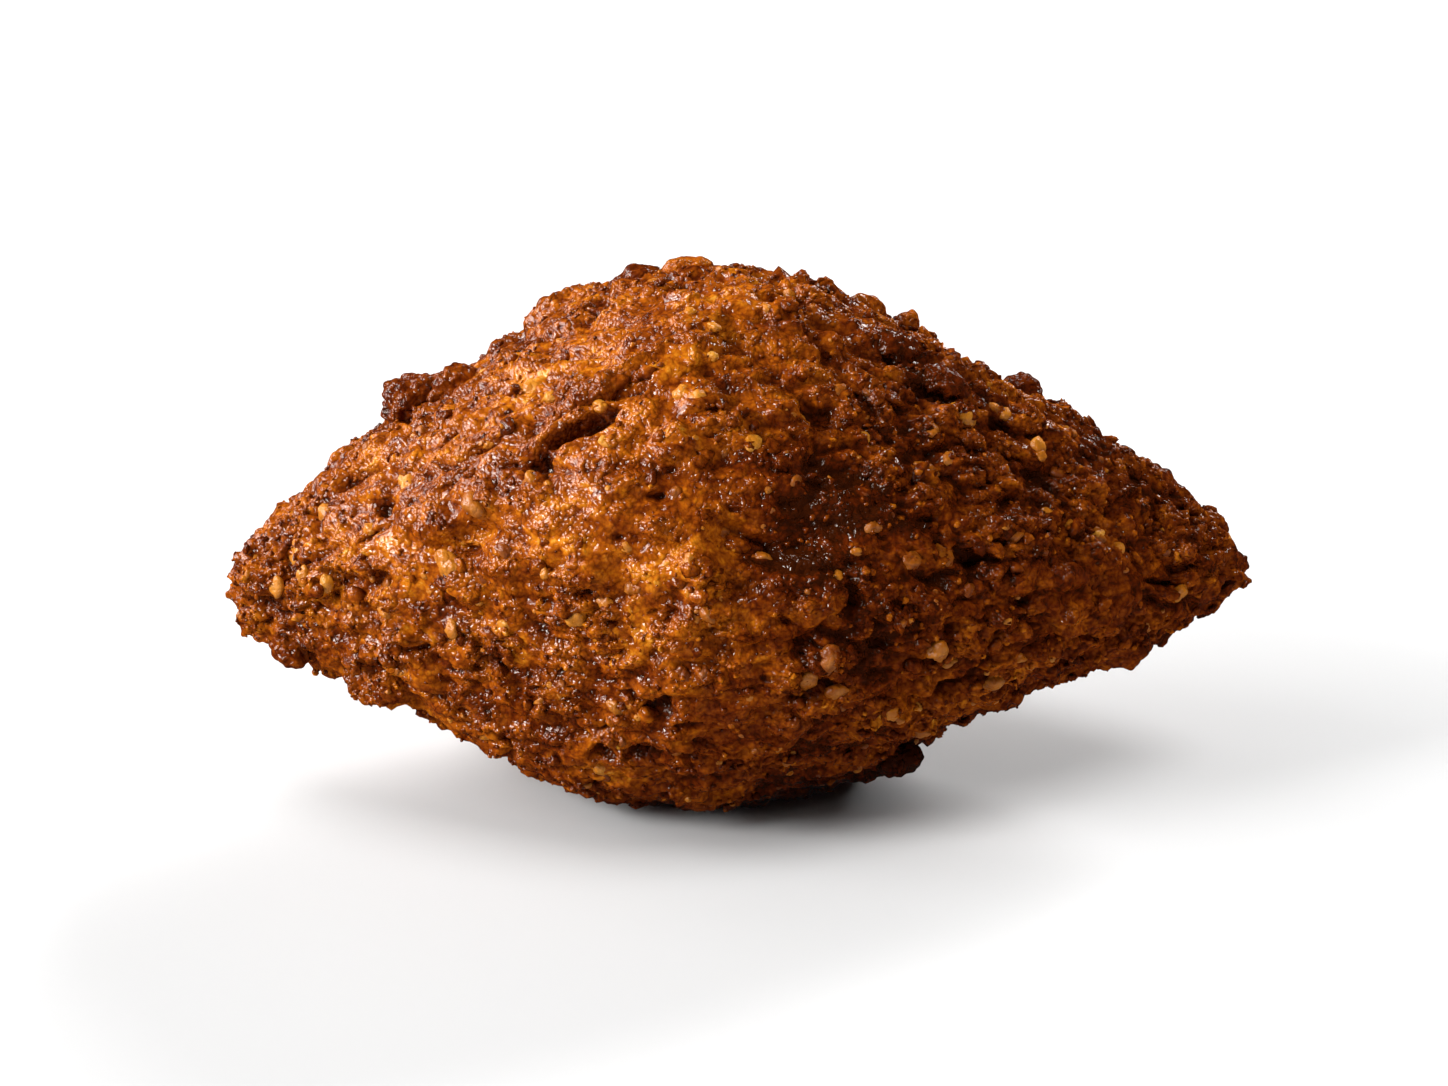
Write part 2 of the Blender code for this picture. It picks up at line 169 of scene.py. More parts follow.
# How high the crags and the finer relief are where the crust is crumbly, and how much less that is in skin
CRAG_HEIGHTS = (1.55, 0.95)
FINE_HEIGHTS = (1.2, 0.85)
COARSE_SHARE = 0.5  # how much the coarse crags count in how far a spot stands over its close surroundings

# Small places strewn over the crust. They get deeper or higher the longer they are.
Strewn = namedtuple("Strewn", "count lengths heights slimness edge wander")
PITS = Strewn(240, (0.8 * MM, 2.6 * MM), (0.35 * MM, 1.3 * MM), (0.4, 0.9), TORN_EDGE, 1)
CREASES = Strewn(170, (2.6 * MM, 6.5 * MM), (0.55 * MM, 1.1 * MM), (0.14, 0.3), TORN_EDGE, 0.5)
FLAKES = Strewn(420, (1.0 * MM, 4.6 * MM), (0.15 * MM, 0.75 * MM), (0.5, 0.9), (0.85, 1.0), 1)
STREWN_SEED = 11
STREWN_TILT = 40  # degrees, at most, from the long axis
STREWN_REACH = 0.98  # of each arm's length
# How the rims of torn places wander: over what distances, and how far
RAGGEDNESS = ((2.0 * MM, 0.9 * MM), (0.8 * MM, 0.45 * MM))

# Tones go from 0, charred, to 1, as pale as bulgur
MEAN_TONE = 0.6
TONE_BLOTCHES = (7 * MM, 0.14)
TONE_STREAKS = ((2.4 * MM, 0.28), (1.1 * MM, 0.2))
# Painted shade: the crust is darker in its hollows
HOLLOW_SHADE_DEPTH = 1.1 * MM  # this far under its surroundings the painted shade is at its darkest
HOLLOW_SHADE_EDGE = (0.1, 1)
PAINTED_HOLLOW_SHADE = 0.4

# One number for each layer of noise keeps it apart from the others
CRAG_LAYER = 1
FINE_CRAG_LAYER = 5
BLOTCH_LAYER = 8
STREAK_LAYER = 9
SKIN_LAYER = 14
WANDER_LAYERS = (20, 30)
CRUMB_LAYER = 40

BALL_DETAIL = 8
CRUST_TRIANGLES = 190_000


def blend(low, high, value):
    """0 below low and 1 above high, turning smoothly in between."""
    share = np.clip((value - low) / (high - low), 0, 1)
    return share * share * (3 - 2 * share)


def between(limits, share):
    """From the lower limit at 0 to the higher one at 1."""
    low, high = limits
    return low + (high - low) * share


def of_arm(x, name):
    """A measure of the arm that each x lies on."""
    return np.where(x < BELLY_X, getattr(BLUNT_ARM, name), getattr(POINTED_ARM, name))


def turned_radius(x):
    """The spindle's radius before its section is shaped: an arm's slope, cut short by its round tip."""
    out = np.abs(x - BELLY_X)
    slope = BELLY_RADIUS * (1 - (out / of_arm(x, "slope_length")) ** of_arm(x, "fullness"))
    from_tip = of_arm(x, "length") - out
    tip = np.sqrt(2 * of_arm(x, "tip_radius") * from_tip + from_tip**2)
    return (slope**-TIP_SHARPNESS + tip**-TIP_SHARPNESS) ** (-1 / TIP_SHARPNESS)


def axis_height(x):
    """The height of the long axis, which droops towards the ends."""
    share = np.abs(x - BELLY_X) / of_arm(x, "length")
    return BELLY_RADIUS - FOOT_DEPTH - of_arm(x, "droop") * share**DROOP_POWER


def surface_points(x, clock):
    """The smooth form's surface at places along the spindle and clock angles in degrees."""
    angle = np.radians(clock)
    ridges = np.cos(RIDGE_COUNT * (angle - np.radians(of_arm(x, "ridge_clock"))))
    ridges = ridges * RIDGE_SHARE * blend(0, RIDGE_FROM, np.abs(x - BELLY_X))
    radius = turned_radius(x) * (1 + ridges)
    y = -radius * DEPTH_SHARE * np.cos(angle)
    return np.stack((x, y, axis_height(x) + radius * np.sin(angle)), axis=-1)


def unit(vectors):
    return vectors / np.linalg.norm(vectors, axis=-1, keepdims=True)


def surface_axes(x, clock):
    """Unit vectors at places on the smooth form, stacked in turn: along the spindle, round it, and out."""
    inward = np.where(x > BELLY_X, -AXIS_STEP, AXIS_STEP)
    along = unit((surface_points(x + inward, clock) - surface_points(x, clock)) / inward[:, None])
    round_it = surface_points(x, clock + CLOCK_STEP) - surface_points(x, clock - CLOCK_STEP)
    round_it = unit(round_it - along * np.sum(along * round_it, axis=1, keepdims=True))
    return np.stack((along, round_it, np.cross(along, round_it)), axis=1)


def noise_at(points, size, layer=0):
    """Smooth noise of lumps of that size, from about -1 to 1."""
    shifted = points / size + LAYER_SHIFT * layer
    return np.array([noise.noise(point) for point in shifted.tolist()])


def lumps_at(points, size, height, layer):
    """Rounded lumps with creases between them."""
    level, flat = LUMP_SHARES
    return height * (np.minimum(np.abs(noise_at(points, size, layer)), flat) - level) * 2


def granules_at(points, size, height):
    """Round granules packed side by side: each one's middle is highest."""
    nearest = np.array([noise.voronoi(point)[0][0] for point in (points / size).tolist()])
    return height * (GRANULE_REACH - 2 * GRANULE_REACH * np.minimum(nearest, GRANULE_REACH))


def place_heights(x, clock, place, edge, wander=(0, 0)):
    """The height that one torn or puffed place adds at each point."""
    round_it = np.radians((clock - place.clock + 180) % 360 - 180) * turned_radius(np.array(place.x))
    along = x - place.x + wander[0]
    round_it = round_it + wander[1]
    tilt = math.radians(place.tilt)
    lengthwise = (along * math.cos(tilt) + round_it * math.sin(tilt)) / (place.length / 2)
    crosswise = (round_it * math.cos(tilt) - along * math.sin(tilt)) / (place.width / 2)
    return place.height * (1 - blend(*edge, np.hypot(lengthwise, crosswise)))


def strewn_heights(x, clock, strewn, draw, wander):
    """The height at each point of small places drawn evenly over the crust's area, most of them short."""
    heights = np.zeros(len(x))
    drawn = 0
    while drawn < strewn.count:
        middle = BELLY_X + draw.uniform(-BLUNT_ARM.length, POINTED_ARM.length) * STREWN_REACH
        if draw.random() > turned_radius(np.array(middle)) / BELLY_RADIUS:
            continue
        share = draw.random() ** 2
        length = between(strewn.lengths, share)
        width = length * draw.uniform(*strewn.slimness)
        turn = draw.uniform(-180, 180)
        tilt = draw.uniform(-STREWN_TILT, STREWN_TILT)
        place = Place(middle, turn, length, width, tilt, between(strewn.heights, share))
        heights = np.maximum(heights, place_heights(x, clock, place, strewn.edge, wander * strewn.wander))
        drawn += 1
    return heights


def skin_at(x, clock, points):
    """How smooth the crust is: from 0, crumbly, to 1, an even skin."""
    size, middle, reach = SKIN
    skin = middle + reach * noise_at(points, size, SKIN_LAYER)
    for place in SKIN_PLACES:
        skin += place_heights(x, clock, place, BROAD_EDGE)
    return np.clip(skin, 0, 1)


def crust_heights(x, clock, points, skin):
    """How far the crust stands over the smooth form, and how far over its close surroundings."""
    drawn_out = points * np.array((ALONG_SHARE, 1, 1))
    size, height = UNEVEN
    broad = height * noise_at(drawn_out, size)
    for place in BROAD_PLACES:
        broad += place_heights(x, clock, place, BROAD_EDGE)
    coarse, crags = (lumps_at(drawn_out, *crag, layer) for layer, crag in enumerate(CRAGS, start=CRAG_LAYER))
    fine = granules_at(drawn_out, *GRANULES)
    for layer, crag in enumerate(FINE_CRAGS, start=FINE_CRAG_LAYER):
        fine += lumps_at(points * np.array((FINE_ALONG_SHARE, 1, 1)), *crag, layer)
    crag_height, fine_height = (most - less * skin for most, less in (CRAG_HEIGHTS, FINE_HEIGHTS))
    crags = crags * crag_height + fine * fine_height
    wander = np.zeros((2, len(x)))
    for number, (distance, reach) in enumerate(RAGGEDNESS):
        wander += [reach * noise_at(points, distance, layer + number) for layer in WANDER_LAYERS]
    torn = place_heights(x, clock, CRACK, CRACK_EDGE, wander * CRACK_WANDER)
    for place in TORN_PLACES:
        torn = np.minimum(torn, place_heights(x, clock, place, TORN_EDGE, wander))
    draw = np.random.default_rng(STREWN_SEED)
    pits, creases, flakes = (strewn_heights(x, clock, kind, draw, wander) for kind in (PITS, CREASES, FLAKES))
    torn = np.minimum(torn, -np.maximum(pits, creases))
    close = crags + torn + flakes
    return broad + coarse + close, close + COARSE_SHARE * coarse


def tone_at(x, clock, points):
    """How light the fried crust is, with char, paler patches and painted light and shade in places, before the
    painted shade in its hollows.
    """
    size, change = TONE_BLOTCHES
    tone = MEAN_TONE + change * noise_at(points, size, BLOTCH_LAYER)
    streaked = points * np.array((FINE_ALONG_SHARE, 1, 1))
    for layer, (size, change) in enumerate(TONE_STREAKS, start=STREAK_LAYER):
        tone += change * noise_at(streaked, size, layer)
    # Char, paler patches, and painted light and shade
    for place in TONE_AND_PAINTED_LIGHT_PLACES:
        tone += place_heights(x, clock, place, BROAD_EDGE)
    return tone


def make_ball(detail):
    """A ball of radius 1, as its points and triangles."""
    shape = bmesh.new()
    bmesh.ops.create_icosphere(shape, subdivisions=detail, radius=1)
    points = np.array([vert.co for vert in shape.verts])
    triangles = np.array([[vert.index for vert in face.verts] for face in shape.faces])
    shape.free()
    return points, triangles


Crust = namedtuple("Crust", "x clock points axes triangles areas relief tone skin")


def measure_crust():
    """A ball drawn out to the smooth form and given its relief, as arrays."""
    ball, triangles = make_ball(BALL_DETAIL)
    middle = BELLY_X + (POINTED_ARM.length - BLUNT_ARM.length) / 2
    half = (POINTED_ARM.length + BLUNT_ARM.length) / 2
    x = middle + half * np.clip(ball[:, 0], -POLE_SHARE, POLE_SHARE)
    clock = np.degrees(np.arctan2(ball[:, 2], -ball[:, 1]))
    smooth = surface_points(x, clock)
    axes = surface_axes(x, clock)
    skin = skin_at(x, clock, smooth)
    heights, relief = crust_heights(x, clock, smooth, skin)
    points = smooth + axes[:, 2] * heights[:, None]
    corners = smooth[triangles]
    crossed = np.cross(corners[:, 1] - corners[:, 0], corners[:, 2] - corners[:, 0])
    areas = np.linalg.norm(crossed, axis=1) / 2
    return Crust(x, clock, points, axes, triangles, areas, relief, tone_at(x, clock, points), skin)


def link_object(name, data):
    made = bpy.data.objects.new(name, data)
    bpy.context.scene.collection.objects.link(made)
    return made


def link_mesh(name, points, triangles, tone):
    """A new piece in the part's frame, flat where it rests."""
    placed = points + PART_SHIFT
    placed[:, 2] = np.maximum(placed[:, 2], 0)
    mesh = bpy.data.meshes.new(name)
    mesh.from_pydata(placed.tolist(), [], triangles.tolist())
    layer = mesh.attributes.new("tone", "FLOAT", "POINT")
    layer.data.foreach_set("value", np.asarray(tone, dtype=np.float32))
    mesh.shade_smooth()
    return link_object(name, mesh)


def make_crust(crust):
    """The whole surface, with painted shade darkening its hollows."""
    # Painted shade in the hollows
    hollow_shade = blend(*HOLLOW_SHADE_EDGE, -crust.relief / HOLLOW_SHADE_DEPTH)
    made = link_mesh("crust", crust.points, crust.triangles, crust.tone - PAINTED_HOLLOW_SHADE * hollow_shade)
    thin = made.modifiers.new("fewer triangles", "DECIMATE")
    thin.ratio = min(1, CRUST_TRIANGLES / len(crust.triangles))
    bpy.context.view_layer.update()
    made.data = bpy.data.meshes.new_from_object(made.evaluated_get(bpy.context.evaluated_depsgraph_get()))
    made.modifiers.clear()
    return made


# Small things on the crust. count: how many. lengths, and width and height as shares of the length.
# sunk: how deep its middle lies, as a share of its height. lumps: how uneven it is. detail: how finely it is
# divided. tones: from the darkest to the palest. standing: how far over its close surroundings the crust has
# to stand to carry any, and to carry as many as anywhere, in millimetres.
Kind = namedtuple("Kind", "count lengths width height sunk lumps detail tones standing seed")
CRUMB_KIND = Kind(
    count=1700,
    lengths=(0.6 * MM, 2.0 * MM),
    width=(0.5, 0.9),
    height=(0.4, 0.8),
    sunk=(0, 0.5),
    lumps=0.75,
    detail=2,
    tones=(0.45, 0.78),
    standing=(-0.7, 0.1),
    seed=21,
)
BIT_KIND = Kind(
    count=8500,
    lengths=(0.28 * MM, 0.75 * MM),
    width=(0.5, 1),
    height=(0.5, 1),
    sunk=(-0.1, 0.4),
    lumps=0.6,
    detail=1,
    tones=(0.5, 1.3),
    standing=(-0.7, 0.1),
    seed=22,
)
GRAIN_KIND = Kind(
    count=500,
    lengths=(0.5 * MM, 1.5 * MM),
    width=(0.6, 0.9),
    height=(0.5, 0.75),
    sunk=(0.3, 0.55),
    lumps=0.4,
    detail=3,
    tones=(-0.1, 0.9),
    standing=(-0.6, 0.2),
    seed=23,
)
LENGTH_POWER = 2.2  # the higher, the more of them are short
VARIANTS = 32
BULGES = ((1.1, 1, 10), (0.45, 0.5, 50))  # size in radii, height, and first layer of noise
LEAN = 0.25
OWN_TONE_SHARE = 0.6  # the rest is the tone of the crust underneath
FOOT_SHADE = 0.32  # painted shade: how much darker small things are at their foot, where they sink into the crust
FOOT_EDGE = (-0.1 * MM, 0.5 * MM)
SKIN_EDGE = (0.1, 0.8)
BARE_SKIN = 0.85  # the share of the crumbs that smooth skin lacks


def ball_variants(kind):
    """Balls with uneven surfaces, all with the same triangles."""
    ball, triangles = make_ball(kind.detail)
    variants = []
    for number in range(VARIANTS):
        bulge = sum(height * noise_at(ball, size, layer + number) for size, height, layer in BULGES)
        variants.append(ball * (1 + kind.lumps * bulge)[:, None])
    return np.array(variants), triangles


def repeated(triangles, count, point_count):
    """The triangles of that many meshes in one, each with so many points."""
    steps = np.arange(count)[:, None, None] * point_count
    return (triangles[None] + steps).reshape(-1, 3)


def draw_spots(crust, kind, draw, weight=1):
    """Vertex numbers on the crust, drawn evenly over its area where it stands high enough."""
    weight = blend(*kind.standing, crust.relief / MM) * weight
    share = crust.areas * weight[crust.triangles[:, 0]]
    chosen = draw.choice(len(share), size=kind.count, p=share / share.sum())
    return crust.triangles[chosen, 0]


def squared_distances(crust, places):
    """For each place, given by x and clock, how far all the crust's vertices are from it, squared."""
    smooth = surface_points(crust.x, crust.clock)
    clocks = np.array([float(place.clock) for place in places])
    targets = surface_points(np.array([place.x for place in places]), clocks)
    return (np.sum((smooth - target) ** 2, axis=1) for target in targets)


def highest_spots(crust, places, reach):
    """The numbers of the vertices that stand out most within reach of places."""
    spots = []
    for distances in squared_distances(crust, places):
        close = np.flatnonzero(distances < reach**2)
        spots.append(close[np.argmax(crust.relief[close])])
    return np.array(spots)


def lay_on_crust(name, crust, kind, spots, lengths, tones, draw):
    """One piece made of many small uneven balls, turned at random and laid on the crust at the spots."""
    variants, triangles = ball_variants(kind)
    count = len(spots)
    widths = lengths * draw.uniform(*kind.width, count)
    heights = lengths * draw.uniform(*kind.height, count)
    sizes = np.stack((lengths, widths, heights), axis=1) / 2
    shapes = variants[draw.integers(VARIANTS, size=count)] * sizes[:, None, :]
    turn = draw.uniform(0, 2 * np.pi, count)
    along, round_it, out = (crust.axes[spots, axis] for axis in range(3))
    up = unit(out + draw.normal(0, LEAN, (count, 3)))
    side = along * np.cos(turn)[:, None] + round_it * np.sin(turn)[:, None]
    side = unit(side - up * np.sum(up * side, axis=1, keepdims=True))
    turned = np.stack((side, np.cross(up, side), up), axis=1)
    rise = -heights * draw.uniform(*kind.sunk, count)
    middles = crust.points[spots] + out * rise[:, None]
    points = np.einsum("nvi,nij->nvj", shapes, turned) + middles[:, None, :]
    above = np.sum((points - crust.points[spots][:, None, :]) * out[:, None, :], axis=2)
    # Painted shade at the foot of each small thing
    foot_shade = FOOT_SHADE * (1 - blend(*FOOT_EDGE, above))
    faces = repeated(triangles, count, variants.shape[1])
    return link_mesh(name, points.reshape(-1, 3), faces, (tones[:, None] - foot_shade).ravel())


def draw_lengths(kind, draw):
    return between(kind.lengths, draw.random(kind.count) ** LENGTH_POWER)


def make_scattered(name, crust, kind):
    """Crumbs strewn where the crust is crumbly."""
    draw = np.random.default_rng(kind.seed)
    spots = draw_spots(crust, kind, draw, 1 - BARE_SKIN * blend(*SKIN_EDGE, crust.skin))
    # Partly the tone of the crust underneath, with its painted light and shade
    tones = draw.uniform(*kind.tones, kind.count) * OWN_TONE_SHARE + crust.tone[spots] * (1 - OWN_TONE_SHARE)
    return lay_on_crust(name, crust, kind, spots, draw_lengths(kind, draw), tones, draw)


LARGE_CRUMB_DETAIL = 5
LARGE_CRUMB_GRANULES = ((1.3 * MM, 0.45 * MM, 9), (0.7 * MM, 0.25 * MM, 7))  # size, height, and shift in mm
LARGE_CRUMB_BULGES = (2 * MM, 0.25)
ROUGH_PER_MM = 0.7  # how rough a crumb is for each millimetre that it is high, up to 1


def make_large_crumbs(crust):
    """The crumbs that the part has too, lumpier."""
    ball, triangles = make_ball(LARGE_CRUMB_DETAIL)
    spots = np.array([np.argmin(distances) for distances in squared_distances(crust, CRUMBS)])
    all_points = []
    for number, (crumb, spot) in enumerate(zip(CRUMBS, spots)):
        half_height = crumb.height - crumb.middle
        points = ball * np.array((crumb.length / 2, crumb.width / 2, half_height))
        rough = min(1, ROUGH_PER_MM * crumb.height / MM)
        lumps = np.zeros(len(ball))
        for size, height, shift in LARGE_CRUMB_GRANULES:
            lumps += granules_at(points + number * shift * MM, size, height * rough)
        size, share = LARGE_CRUMB_BULGES
        lumps += share * half_height * noise_at(points, size, CRUMB_LAYER + number)
        points += ball * lumps[:, None]
        tilt = math.radians(crumb.tilt)
        along, round_it, out = crust.axes[spot]
        side = along * math.cos(tilt) + round_it * math.sin(tilt)
        turned = np.stack((side, np.cross(out, side), out))
        middle = surface_points(np.array([crumb.x]), np.array([float(crumb.clock)]))[0] + out * crumb.middle
        all_points.append(points @ turned + middle)
    faces = repeated(triangles, len(CRUMBS), len(ball))
    # The tone of the crust underneath, with its painted light and shade
    tones = np.repeat(crust.tone[spots], len(ball))
    return link_mesh("large_crumbs", np.concatenate(all_points), faces, tones)


# The grains of the front that can be told apart. tone: 0 is amber, 1 is pale.
Grain = namedtuple("Grain", "x clock length tone")
GRAIN_REACH = 0.5 * MM  # how far from its place a grain may be moved, to where the crust stands out most
GRAIN_CRUST_SHARE = 0.5  # how much its tone follows that of the crust underneath
SEEN_GRAINS = (
    Grain(-22.2 * MM, -2, 1.4 * MM, 0.6),
    Grain(-36.1 * MM, 13, 1.8 * MM, 0.7),
    Grain(-34.1 * MM, 20, 1.8 * MM, 0.7),
    Grain(-35.5 * MM, 39, 2.8 * MM, 0.8),
    Grain(-33.1 * MM, 57, 2.4 * MM, 0.6),
    Grain(-26.4 * MM, 51, 2.8 * MM, 0.9),
    Grain(-15.3 * MM, 36, 2.2 * MM, 0.5),
    Grain(-16.8 * MM, 69, 2.6 * MM, 0.6),
    Grain(-20.2 * MM, 33, 2.5 * MM, 0.4),
    Grain(-28.8 * MM, 39, 1.2 * MM, 0.8),
    Grain(-22.6 * MM, 19, 2.4 * MM, 0.6),
    Grain(-5.9 * MM, 73, 1.2 * MM, 0.7),
    Grain(-2.2 * MM, 67, 1.2 * MM, 0.7),
    Grain(-5.1 * MM, 52, 1.5 * MM, 0.8),
    Grain(0.8 * MM, 39, 1.6 * MM, 0.9),
    Grain(1.2 * MM, 75, 1.4 * MM, 0.5),
    Grain(3.4 * MM, 86, 1.4 * MM, 0.6),
    Grain(6.0 * MM, 107, 1.3 * MM, 0.6),
    Grain(-10.5 * MM, 42, 1.2 * MM, 0.9),
    Grain(13.8 * MM, 42, 2.0 * MM, 0.3),
    Grain(22.6 * MM, 56, 1.1 * MM, 0.6),
    Grain(22.3 * MM, 62, 1.6 * MM, 0.7),
    Grain(20.3 * MM, 69, 1.1 * MM, 0.8),
    Grain(17.2 * MM, 61, 1.7 * MM, 0.8),
    Grain(16.2 * MM, 65, 1.5 * MM, 0.8),
    Grain(26.9 * MM, 32, 1.4 * MM, 1.0),
    Grain(29.0 * MM, 28, 1.2 * MM, 0.7),
    Grain(15.3 * MM, 19, 2.0 * MM, 0.4),
    Grain(34.0 * MM, -6, 1.5 * MM, 0.7),
    Grain(7.1 * MM, 14, 1.1 * MM, 0.8),
    Grain(-12.2 * MM, 3, 2.0 * MM, 0.9),
    Grain(5.8 * MM, -5, 2.3 * MM, 0.3),
    Grain(5.1 * MM, -10, 2.1 * MM, 0.4),
    Grain(6.9 * MM, -13, 2.0 * MM, 0.3),
    Grain(0.5 * MM, -14, 2.2 * MM, 0.6),
    Grain(14.5 * MM, -6, 2.0 * MM, 0.5),
    Grain(15.9 * MM, -14, 1.6 * MM, 0.5),
    Grain(19.0 * MM, -25, 2.0 * MM, 0.4),
    Grain(21.9 * MM, -24, 1.3 * MM, 0.5),
    Grain(11.0 * MM, -24, 1.2 * MM, 0.5),
    Grain(5.6 * MM, -56, 2.0 * MM, 0.2),
    Grain(-7.8 * MM, 9, 1.4 * MM, 0.3),
    Grain(-11.5 * MM, -42, 1.8 * MM, 0.7),
    Grain(-8.7 * MM, 18, 1.2 * MM, 0.7),
    Grain(-4.0 * MM, 71, 1.3 * MM, 0.8),
    Grain(-2.2 * MM, 60, 1.2 * MM, 0.9),
    Grain(-14.7 * MM, 59, 1.6 * MM, 0.9),
    Grain(-10.9 * MM, 52, 1.5 * MM, 0.7),
    Grain(9.2 * MM, 24, 1.4 * MM, 0.5),
    Grain(12.0 * MM, 17, 1.5 * MM, 0.3),
    Grain(20.1 * MM, 24, 1.6 * MM, 0.3),
    Grain(-9.9 * MM, -18, 1.4 * MM, 0.6),
    Grain(-31.6 * MM, 14, 1.6 * MM, 0.7),
    Grain(1.6 * MM, 16, 1.5 * MM, 0.6),
    Grain(-3.2 * MM, 5, 1.4 * MM, 0.3),
)


def make_grains(crust):
    """Bulgur grains: the ones that can be told apart, and others strewn."""
    draw = np.random.default_rng(GRAIN_KIND.seed)
    strewn = draw_spots(crust, GRAIN_KIND, draw)
    spots = np.concatenate((highest_spots(crust, SEEN_GRAINS, GRAIN_REACH), strewn))
    lengths = np.concatenate(([grain.length for grain in SEEN_GRAINS], draw_lengths(GRAIN_KIND, draw)))
    drawn_tones = draw.uniform(*GRAIN_KIND.tones, len(strewn))
    tones = np.concatenate(([grain.tone for grain in SEEN_GRAINS], drawn_tones))
    # Partly the tone of the crust underneath, with its painted light and shade
    tones += GRAIN_CRUST_SHARE * (crust.tone[spots] - MEAN_TONE)
    return lay_on_crust("bulgur_grains", crust, GRAIN_KIND, spots, lengths, tones, draw)


class Shading:
    """A material in the making."""

    def __init__(self, name):
        self.material = bpy.data.materials.new(name)
        self.material.use_nodes = True
        self.tree = self.material.node_tree
        self.shader = self.tree.nodes["Principled BSDF"]
        self.place = self.add("ShaderNodeTexCoord").outputs["Object"]

    def add(self, kind, **settings):
        node = self.tree.nodes.new(kind)
        for name, value in settings.items():
            setattr(node, name, value)
        return node

    def link(self, source, target):
        self.tree.links.new(source, target)

    def noise_node(self, size, detail, roughness=0.5):
        node = self.add("ShaderNodeTexNoise")
        node.inputs["Scale"].default_value = 1 / size
        node.inputs["Detail"].default_value = detail
        node.inputs["Roughness"].default_value = roughness
        self.link(self.place, node.inputs["Vector"])
        return node

    def noise(self, size, detail=2, roughness=0.5):
        return self.noise_node(size, detail, roughness).outputs["Fac"]

    def warp(self, size, reach):
        """Lets the textures that follow wander by up to reach over that distance."""
        node = self.noise_node(size, 1)
        moved = self.add("ShaderNodeVectorMath", operation="MULTIPLY_ADD")
        self.link(node.outputs["Color"], moved.inputs[0])
        moved.inputs[1].default_value = (reach * 2, reach * 2, reach * 2)
        self.link(self.place, moved.inputs[2])
        self.place = moved.outputs["Vector"]

    def domes(self, size):
        """Round domes packed side by side, from 1 at their tops to about 0.5 between them."""
        node = self.add("ShaderNodeTexVoronoi")
        node.inputs["Scale"].default_value = 1 / size
        self.link(self.place, node.inputs["Vector"])
        return self.scaled(self.product(node.outputs["Distance"], node.outputs["Distance"]), -1, 1)

    def value(self, name):
        return self.add("ShaderNodeAttribute", attribute_name=name).outputs["Fac"]

    def scaled(self, source, factor, offset=0):
        """source * factor + offset"""
        node = self.add("ShaderNodeMath", operation="MULTIPLY_ADD")
        self.link(source, node.inputs[0])
        node.inputs[1].default_value = factor
        node.inputs[2].default_value = offset
        return node.outputs[0]

    def pair(self, operation, first, second):
        node = self.add("ShaderNodeMath", operation=operation)
        self.link(first, node.inputs[0])
        self.link(second, node.inputs[1])
        return node.outputs[0]

    def sum(self, first, second):
        return self.pair("ADD", first, second)

    def product(self, first, second):
        return self.pair("MULTIPLY", first, second)

    def ramp(self, source, stops):
        """Colours by tone, from the first stop to the last."""
        node = self.add("ShaderNodeValToRGB")
        elements = node.color_ramp.elements
        while len(elements) < len(stops):
            elements.new(1)
        low, high = stops[0][0], stops[-1][0]
        for element, (position, colour) in zip(elements, stops):
            element.position = (position - low) / (high - low)
            element.color = (*colour, 1)
        self.link(self.range(source, low, high, 0, 1), node.inputs["Fac"])
        return node.outputs["Color"]

    def range(self, source, low, high, to_low, to_high):
        node = self.add("ShaderNodeMapRange")
        self.link(source, node.inputs["Value"])
        for name, number in (("From Min", low), ("From Max", high), ("To Min", to_low), ("To Max", to_high)):
            node.inputs[name].default_value = number
        return node.outputs["Result"]

    def bump(self, height, distance):
        node = self.add("ShaderNodeBump")
        node.inputs["Strength"].default_value = 1
        node.inputs["Distance"].default_value = distance
        self.link(height, node.inputs["Height"])
        self.link(node.outputs["Normal"], self.shader.inputs["Normal"])


CRUST_TONES = (
    (0.0, (0.04, 0.007, 0.0008)),
    (0.22, (0.1, 0.013, 0.001)),
    (0.45, (0.205, 0.038, 0.002)),
    (0.65, (0.36, 0.08, 0.003)),
    (0.85, (0.54, 0.16, 0.006)),
    (1.0, (0.65, 0.29, 0.035)),
)
GRAIN_TONES = (
    (-0.3, (0.18, 0.035, 0.002)),
    (0.0, (0.34, 0.09, 0.004)),
    (0.5, (0.54, 0.18, 0.01)),
    (1.0, (0.7, 0.31, 0.035)),
)
CRUST_SPREAD = 0.95
CRUST_GLOSS = (0.05, 0.14)
CRUMB_SPREAD = 0.7
CRUMB_GLOSS = (0.06, 0.18)
GRAIN_SPREAD = 1.1
GRAIN_GLOSS = (0.25, 0.45)
RELIEF_LIGHT_AND_SHADE = 0.6  # painted light and shade: how much the tone follows the finest bumps, paler on their tops and darker between them
MEAN_RELIEF = 0.8


